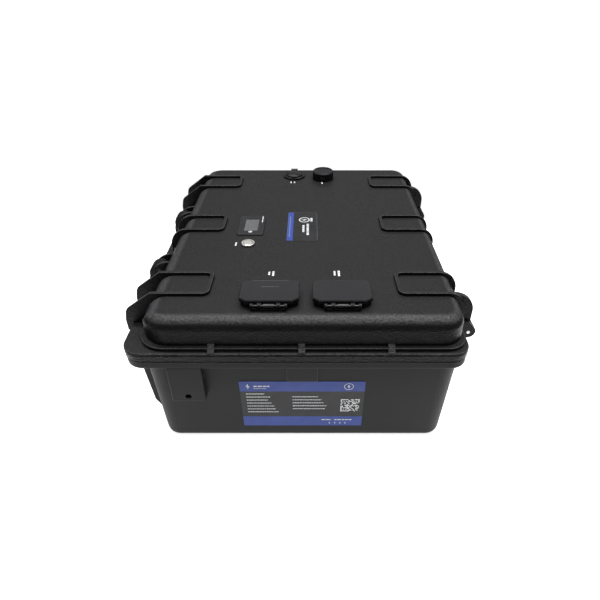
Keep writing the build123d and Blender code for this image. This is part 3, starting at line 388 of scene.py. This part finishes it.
class Print:
    """Flat ink marks on a plane: origin and two directions, filled with outlines measured in millimetres."""

    def __init__(self, origin, right, up):
        self.origin = Vector(origin)
        self.right = Vector(right).normalized()
        self.up = Vector(up).normalized()
        self.mesh = bmesh.new()

    def outline(self, points):
        """One flat face whose corners are at the points."""
        corners = []
        for x, y in points:
            place = self.origin + (self.right * x + self.up * y) * MM
            corners.append(self.mesh.verts.new(place))
        self.mesh.faces.new(corners)

    def bar(self, x, y, width, height):
        """A rectangle whose left bottom corner is at x, y."""
        self.outline([(x, y), (x + width, y), (x + width, y + height), (x, y + height)])

    def ring(self, x, y, outer, inner, sides=40):
        """A flat ring, made of one four-sided face per step."""
        for step in range(sides):
            angles = (2 * math.pi * step / sides, 2 * math.pi * (step + 1) / sides)
            points = [(x + outer * math.cos(a), y + outer * math.sin(a)) for a in angles]
            points += [(x + inner * math.cos(a), y + inner * math.sin(a)) for a in reversed(angles)]
            self.outline(points)

    def bolt(self, x, y, size):
        """A plain lightning flash, size tall, centred at x, y: two triangles that meet."""
        for half in (size / 2, -size / 2):
            tip = (x + 0.12 * half, y + half)
            outer = (x - 0.5 * half, y - 0.12 * half)
            inner = (x + 0.06 * half, y - 0.12 * half)
            self.outline([tip, outer, inner])

    def words(self, x, y, length, height, seed, letter=0.62):
        """A line of print stood in for by short bars, each two to five letters wide."""
        dice = random.Random(seed)
        at = x
        while at < x + length:
            width = min(dice.uniform(2.2, 5.5) * letter, x + length - at)
            self.bar(at, y, width, height)
            at += width + 0.75 * letter

    def piece(self, name, material, body, slot):
        """Everything drawn so far, made into a piece."""
        mesh = bpy.data.meshes.new(name)
        self.mesh.normal_update()
        self.mesh.to_mesh(mesh)
        self.mesh.free()
        return add_piece(name, mesh, material, body)


def smooth_bar(name, place, size, radius, material, body):
    """A bar with rounded edges, centred at place."""
    mesh = bmesh.new()
    bmesh.ops.create_cube(mesh, size=1)
    bmesh.ops.scale(mesh, vec=size, verts=mesh.verts)
    bmesh.ops.bevel(mesh, geom=mesh.edges[:], offset=radius, segments=3, affect="EDGES", profile=0.5)
    bmesh.ops.translate(mesh, vec=place, verts=mesh.verts)
    made = bpy.data.meshes.new(name)
    mesh.to_mesh(made)
    mesh.free()
    return add_piece(name, made, material, body)


# ---------------------------------------------------------------- materials in use

# the amounts below set how much paler the level tops (painted top light, broken up like dust), the edges
# (partly wear, partly painted highlight) and the lid's shoulders (painted highlight) are made
case_lid = moulded("case_lid", CASE, 0.32, 2.0 * MM, 0.7 * MM, wear_and_edge_highlight=10.0, dust_and_top_light=2.9, shoulder_highlight=12.0)
# the base is 2.9 times paler than the case colour: partly a paler plastic, partly painted light standing in
# for the brighter light on the base walls
case_base = moulded("case_base", tint(CASE, 2.9), 0.5, 1.1 * MM, 0.12 * MM, wear_and_edge_highlight=7.0, dust_and_top_light=1.0)
case_parts = moulded("case_parts", CASE, 0.42, 1.1 * MM, 0.1 * MM, wear_and_edge_highlight=8.0, dust_and_top_light=1.5)
fitting = moulded("fitting_plastic", (0.006, 0.006, 0.0065), 0.3, 0.8 * MM, 0.05 * MM, wear_and_edge_highlight=11.0, dust_and_top_light=2.6)
# paler grey for the left cover's marks; on its back-edge step it is a painted highlight
cover_line = moulded("cover_line", (0.05, 0.05, 0.052), 0.4, 0.8 * MM, 0.03 * MM)
seal = rubber("seal_rubber", (0.012, 0.012, 0.012))
steel = metal("bright_steel", (0.66, 0.65, 0.63), 0.24)
dark_steel = metal("dark_steel", (0.09, 0.09, 0.09), 0.4)
nickel = metal("switch_metal", (0.78, 0.76, 0.72), 0.2, (1, 1, 1), 0.004, 0.15)
port = glossy("port_plastic", (0.012, 0.012, 0.013), 0.3, 0.03)
connector = moulded("connector_plastic", (0.075, 0.078, 0.085), 0.45, 0.8 * MM, 0.06 * MM)
contacts = metal("contact_metal", (0.82, 0.81, 0.78), 0.18, (1, 1, 1), 0.003, 0.1)
copper = metal("copper", (0.8, 0.43, 0.28), 0.28, (1, 20, 1), 0.02)
aluminium = metal("plate_aluminium", (0.62, 0.63, 0.64), 0.34, (20, 1, 1), 0.02)
strap = metal("strap_steel", (0.5, 0.5, 0.5), 0.3, (1, 1, 20), 0.02)
pads = foam("foam")
sheets = insulation("sheet_insulation")
fuse_body = moulded("fuse_plastic", (0.02, 0.02, 0.022), 0.4, 0.8 * MM, 0.05 * MM)
key_white = glossy("key_plastic", (0.72, 0.75, 0.8), 0.25, 0.0)
label_ink = printed("label_ink", PRINT_WHITE)
legend_ink = printed("legend_ink", LEGEND_WHITE)
edge_ink = printed("edge_ink", (0.14, 0.14, 0.145))
faint_ink = printed("faint_ink", (0.13, 0.17, 0.36))

FINISH = {
    case_lid: ("lid_shell",),
    case_base: ("base_shell",),
    case_parts: ("latch_front", "latch_rear", "carry_handle"),
    fitting: (
        "charge_body", "charge_cap", "charge_nut", "display_bezel", "socket_cover_left", "socket_cover_right",
        "socket_frame_left", "socket_frame_right", "usb_body", "usb_cap", "usb_nut",
    ),
    seal: ("rim_seal", "switch_gasket", "charge_liner"),
    steel: ("bms_screws", "frame_screws", "hinge_pins", "terminal_nuts"),
    dark_steel: ("cover_pins", "cover_springs", "handle_pins", "latch_pins"),
    nickel: ("switch_body", "switch_button", "switch_nut"),
    port: ("charge_insert", "usb_ports"),
    connector: ("power_connector_left", "power_connector_right"),
    contacts: ("connector_contacts",),
    copper: ("busbars", "negative_bar", "positive_bar"),
    aluminium: ("bms_housing", "end_plates"),
    strap: ("pack_straps",),
    pads: ("foam_pads",),
    sheets: ("cell_cover", "row_divider"),
    fuse_body: ("main_fuse",),
    key_white: ("display_key",),
}


def finish_nodes():
    """Gives every CAD node its procedural material."""
    bare_lid = 7.5 * MM     # how much of a cell stands out of its film, terminals included
    finishes = {}
    for made, names in FINISH.items():
        for name in names:
            finishes[name] = made
    low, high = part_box("front_label")
    finishes["front_label"] = label_sheet("front_label_film", 2, low.z, high.z, ((0, 0.22), (0.79, 1)))
    low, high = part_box("top_label")
    finishes["top_label"] = label_sheet("top_label_film", 0, low.x, high.x, ((0, 0.19),))
    finishes["display_window"] = screen_glass("screen")
    finishes["display_board"] = circuit_board("board")
    wrap = cell_wrap("cell_film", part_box("cell_pair_1")[1].z - bare_lid)
    for name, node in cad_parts.items():
        made = wrap if name.startswith("cell_pair") else finishes[name]
        for index in range(len(node.data.materials)):
            node.data.materials[index] = made


# ---------------------------------------------------------------- prints and marks

# All the places below are in millimetres on the face that carries the print.
LABEL_TEXT_TOP = 60.5
LABEL_LINE_STEP = 5.6
LABEL_LINE_HEIGHT = 1.35
RIGHT_COLUMN_DROP = 5.2
HEAD_BAND_MIDDLE = 74.3
FOOT_BAND_LINE = 11.2


def front_label_print():
    """The rating label's print, with bars for type, plain icons and a code-like square."""
    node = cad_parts["front_label"]
    low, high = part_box("front_label")
    film = [vertex.co for vertex in node.data.vertices]
    near_edge = 2 * MM
    top_y = min(point.y for point in film if point.z > high.z - near_edge)
    foot_y = min(point.y for point in film if point.z < low.z + near_edge)
    up = Vector((0, top_y - foot_y, high.z - low.z)).normalized()
    outward = Vector((0, -up.z, up.y))
    art = Print(Vector((0, foot_y, low.z)) + outward * LIFT, (1, 0, 0), up)
    art.ring(55.6, HEAD_BAND_MIDDLE, 5.7, 5.0)
    art.bolt(55.6, HEAD_BAND_MIDDLE, 7.5)
    art.bolt(-65, HEAD_BAND_MIDDLE, 9.5)
    art.words(-58, 73.8, 19, 2.0, 3, 1.3)
    art.words(-58, 70.4, 15, 0.8, 4)
    for row, length in enumerate((22, 29, 26, 30, 33, 35, 38)):
        height = LABEL_TEXT_TOP - row * LABEL_LINE_STEP
        art.words(-68, height, length, LABEL_LINE_HEIGHT, 5 + row)
    for row, length in enumerate((31, 35, 38, 42, 40)):
        height = LABEL_TEXT_TOP - RIGHT_COLUMN_DROP - row * LABEL_LINE_STEP
        art.words(-12, height, length, LABEL_LINE_HEIGHT, 12 + row)
    code_square(art, 47, 28.5, 23)
    art.words(24, FOOT_BAND_LINE, 12, 1.6, 17, 1.1)
    art.words(40, FOOT_BAND_LINE, 22, 1.6, 18, 1.1)
    for x in (34, 41, 47.5, 54):
        art.bolt(x, 5.6, 4.6)
    return art.piece("front_label_print", label_ink, "base", "label_film")


def code_square(art, x, y, side):
    """A patterned square that looks like a printed code at a distance and holds no data."""
    count = 15
    corner_cells = 4
    cell = side / count
    dice = random.Random(41)
    for row in range(count):
        for column in range(count):
            from_side = (min(row, count - 1 - row), min(column, count - 1 - column))
            corner = max(from_side) < corner_cells
            if corner and (row > count / 2 or column < count / 2):
                # a filled dot inside a ring
                ink = max(abs(2 - cells) for cells in from_side) != 1
            else:
                ink = dice.random() < 0.5
            if ink:
                art.bar(x + column * cell, y + row * cell, cell, cell)


def lid_print(x, y, z):
    """A print on the lid, read from the -X side, with its origin at x, y just above z."""
    return Print((x, y, z + LIFT), (0, 1, 0), (-1, 0, 0))


def top_label_print():
    """The lid label's print: an icon, a few short lines and a pale edge."""
    low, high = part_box("top_label")
    length = (high.y - low.y) / MM
    width = (high.x - low.x) / MM
    art = lid_print(high.x, low.y, high.z)
    art.ring(63, 19, 8.0, 6.4)
    art.bolt(63, 19, 11)
    art.words(58, 7.0, 11, 3.0, 25, 1.2)
    art.words(25, 18.6, 22, 3.0, 21, 1.2)
    art.words(16, 12.4, 34, 3.2, 22, 1.2)
    strip = lid_print(high.x, low.y, high.z)
    strip.words(length * 0.12, width * 0.9, length * 0.74, 1.6, 23, 1.1)
    strip.piece("top_label_strip_print", faint_ink, "lid", "label_film")
    edge = lid_print(high.x, low.y, high.z)
    inset = 0.5
    line = 0.3
    for y in (inset, width - inset - line):
        edge.bar(inset, y, length - 2 * inset, line)
    for x in (inset, length - inset - line):
        edge.bar(x, inset + line, line, width - 2 * (inset + line))
    edge.piece("top_label_edge", edge_ink, "lid", "label_film")
    return art.piece("top_label_print", label_ink, "lid", "label_film")


def legends():
    """Painted marks on the lid beside the sockets, the switch and the caps."""
    art = lid_print(0, 0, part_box("top_label")[0].z)
    bars = (
        (157.6, 22.5, 7, 2.0),      # USB cap
        (157.6, 16.6, 6, 2.0),
        (154.2, -30.6, 6, 2.6),     # charging cap
        (-132.5, 40.6, 7, 2.2),     # left power socket
        (-133.0, 35.6, 10, 2.4),
        (-132.2, -39.4, 10, 2.2),   # right power socket
        (-132.6, -44.6, 12, 2.6),
        (-59.2, 90.4, 9, 2.2),      # switch
    )
    for row, (along, up, length, height) in enumerate(bars):
        art.words(along - length / 2, up - height / 2, length, height, 30 + row, 0.8)
    return art.piece("lid_legends", legend_ink, "lid", "case_plastic")


def cover_marks():
    """Moulded lines on the left cover's top, and the step along each cover's back edge; the left step is
    paler grey, a painted highlight.
    """
    rounding = 0.12 * MM
    step_share = 0.62       # how much of the cover's width its step takes
    bar_share = 0.69        # how far back on the cover its bar is
    # the left step is paler grey, a painted highlight along the back edge; the right step keeps the cover's
    # own colour
    for side, shade in (("left", cover_line), ("right", fitting)):
        low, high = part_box("socket_cover_" + side)
        place = ((low.x + high.x) / 2, high.y - 1.6 * MM, high.z - 0.05 * MM)
        size = ((high.x - low.x) * step_share, 0.9 * MM, 0.5 * MM)
        smooth_bar("cover_line_" + side, place, size, rounding, shade, "cover_" + side)
    low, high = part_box("socket_cover_left")
    place = ((low.x + high.x) / 2, low.y + bar_share * (high.y - low.y), high.z)
    size = (20 * MM, 1.0 * MM, 0.4 * MM)
    smooth_bar("cover_bar_left", place, size, rounding, cover_line, "cover_left")


def display_marks():
    """The strip of symbols beside the display window and the mark on its key."""
    strip = lid_print(0, 0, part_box("display_bezel")[1].z)
    strip.words(1.3, 58.9, 20, 1.2, 50, 1.1)
    strip.piece("display_strip", legend_ink, "lid", "fitting_plastic")
    low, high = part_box("display_key")
    mark = lid_print((low.x + high.x) / 2, (low.y + high.y) / 2, high.z)
    mark.ring(0, 0, 1.5, 1.1, 24)
    mark.piece("display_key_mark", fitting, "display_key", "key_plastic")


def stage():
    """A pale table top that runs out into the white backdrop."""
    mesh = bmesh.new()
    bmesh.ops.create_grid(mesh, x_segments=1, y_segments=1, size=FLOOR_HALF)
    made = bpy.data.meshes.new("floor")
    mesh.to_mesh(made)
    mesh.free()
    made.materials.append(seamless_paper("seamless_paper"))
    floor = bpy.data.objects.new("floor", made)
    bpy.context.scene.collection.objects.link(floor)
    floor.location = FLOOR_MIDDLE


def soft_box(name, place, size, power):
    """A rectangular studio light, aimed at the middle of the object."""
    data = bpy.data.lights.new(name, "AREA")
    data.shape = "RECTANGLE"
    data.size, data.size_y = size
    data.energy = power
    lamp = bpy.data.objects.new(name, data)
    bpy.context.scene.collection.objects.link(lamp)
    lamp.location = place
    aim = Vector(LIGHT_TARGET) - Vector(place)
    lamp.rotation_euler = aim.to_track_quat("-Z", "Y").to_euler()


def lights():
    """Five soft boxes, and a world that looks white to the camera but lights the object little."""
    soft_box("overhead", (0.05, 0.28, 2.0), (2.4, 0.3), 44)
    soft_box("front", (0.1, -0.75, 2.0), (2.4, 0.3), 26)
    soft_box("back", (0.2, 2.2, 1.7), (2.2, 0.9), 6)
    soft_box("right_side", (2.2, -0.1, 1.0), (0.7, 1.0), 3)
    soft_box("left_side", (-2.2, -0.4, 1.0), (0.7, 1.0), 2)
    world = bpy.data.worlds.new("studio")
    bpy.context.scene.world = world
    world.use_nodes = True
    tree = world.node_tree
    backdrop = tree.nodes["Background"]
    backdrop.inputs["Color"].default_value = (1, 1, 1, 1)
    seen = tree.nodes.new("ShaderNodeLightPath").outputs["Is Camera Ray"]
    level = tree.nodes.new("ShaderNodeMapRange")
    level.inputs["To Min"].default_value = BACKDROP_GLOW
    level.inputs["To Max"].default_value = BACKDROP_SEEN
    tree.links.new(seen, level.inputs["Value"])
    tree.links.new(level.outputs["Result"], backdrop.inputs["Strength"])
    bpy.context.scene.view_settings.view_transform = "Standard"


def camera():
    """The camera, looking along +Y and down at the object."""
    data = bpy.data.cameras.new("camera")
    data.sensor_width = CAMERA_SENSOR
    data.lens = CAMERA_LENS
    data.shift_x = CAMERA_SHIFT
    eye = bpy.data.objects.new("camera", data)
    bpy.context.scene.collection.objects.link(eye)
    eye.location = CAMERA_PLACE
    eye.rotation_euler = (math.radians(90 - CAMERA_DOWN), 0, 0)
    bpy.context.scene.camera = eye


finish_nodes()
front_label_print()
top_label_print()
legends()
cover_marks()
display_marks()
stage()
lights()
camera()

bpy.context.view_layer.update()
